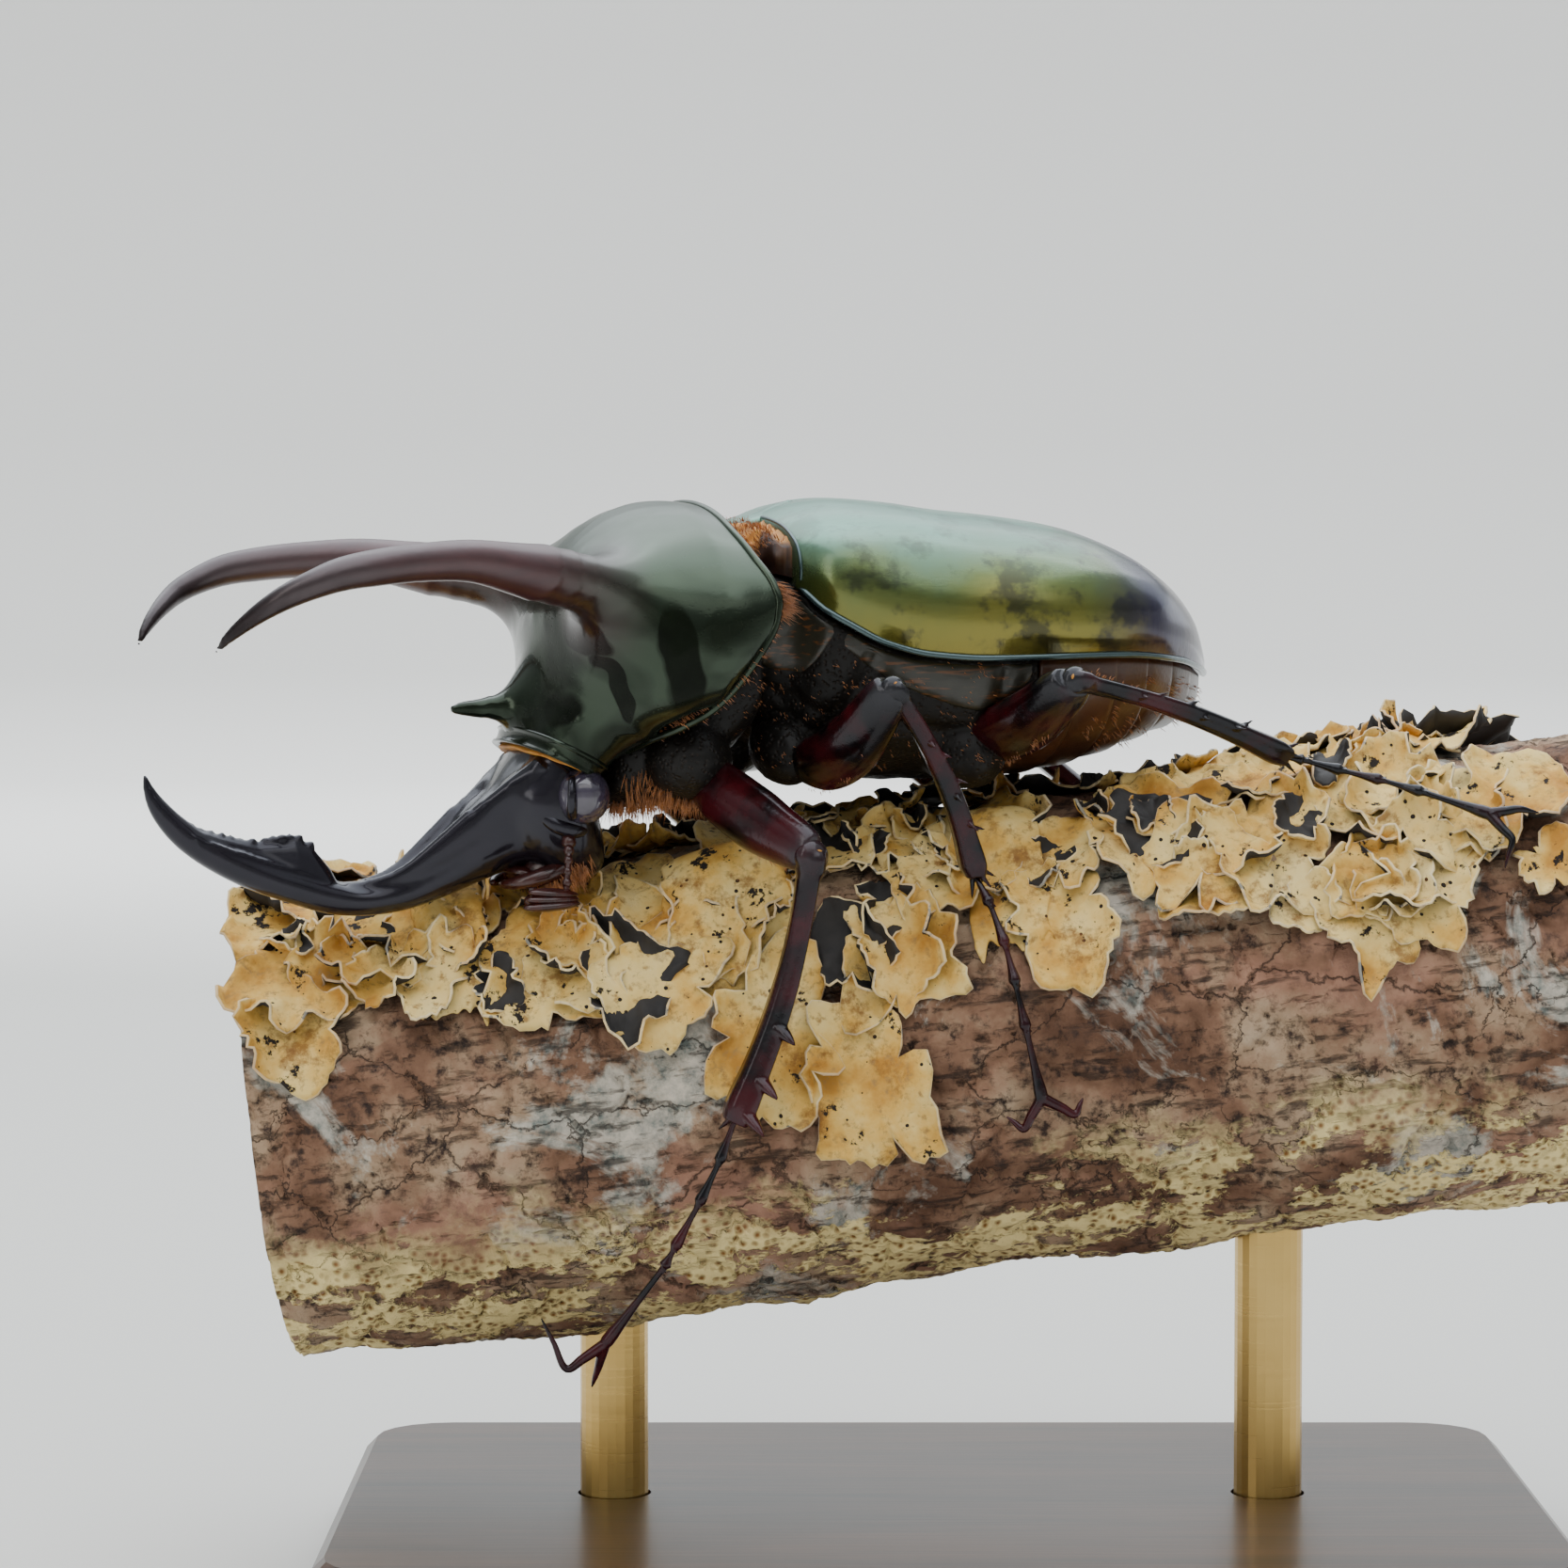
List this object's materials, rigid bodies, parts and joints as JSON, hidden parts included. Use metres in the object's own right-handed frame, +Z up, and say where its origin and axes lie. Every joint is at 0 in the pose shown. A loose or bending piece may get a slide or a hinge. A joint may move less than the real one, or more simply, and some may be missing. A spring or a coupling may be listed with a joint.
{
  "type": "male caucasus beetle on a perch",
  "caption": "Life-size still model of a horned rhinoceros beetle gripping a short length of lichened branch, held by rods on a flat display base.",
  "frame": {"origin": "centre of the display base's flat underside", "axes": "-X the way the beetle's head points, +X its tail, -Y its left side, +Z up"},
  "size_m": [0.1557, 0.1144, 0.1106],
  "materials": {
    "wing_case": "polished shell, bronze green with pale and violet reflections",
    "shield": "polished black shell with a green cast",
    "horn": "smooth black shell, red brown where it is thin",
    "head": "glossy blue black shell, finely wrinkled",
    "eye": "glossy dark eye",
    "feeler": "satin red brown",
    "leg": "glossy black with a deep red cast",
    "underside": "pitted black shell with short orange hair at its edges",
    "belly": "satin dark brown shell",
    "bark": "rough pink grey bark with cream lichen",
    "stand_wood": "dark stained wood, satin",
    "stand_metal": "brushed"
  },
  "bodies": {
    "root": {"abdomen": "belly", "antenna_left": "feeler", "antenna_right": "feeler", "elytron_left": "wing_case", "elytron_right": "wing_case", "eye_left": "eye", "eye_right": "eye", "fore_thorax": "underside", "head": "head", "head_horn": "head", "hind_thorax": "underside", "leg_front_left_femur": "leg", "leg_front_left_foot": "leg", "leg_front_left_tibia": "leg", "leg_front_right_femur": "leg", "leg_front_right_foot": "leg", "leg_front_right_tibia": "leg", "leg_hind_left_femur": "leg", "leg_hind_left_foot": "leg", "leg_hind_left_tibia": "leg", "leg_hind_right_femur": "leg", "leg_hind_right_foot": "leg", "leg_hind_right_tibia": "leg", "leg_middle_left_femur": "leg", "leg_middle_left_foot": "leg", "leg_middle_left_tibia": "leg", "leg_middle_right_femur": "leg", "leg_middle_right_foot": "leg", "leg_middle_right_tibia": "leg", "mouthparts": "feeler", "perch_branch": "bark", "pronotum": "shield", "scutellum": "wing_case", "stand_base": "stand_wood", "stand_rod_back": "stand_metal", "stand_rod_front": "stand_metal", "thorax_horn_left": "horn", "thorax_horn_middle": "horn", "thorax_horn_right": "horn"}
  },
  "joints": []
}
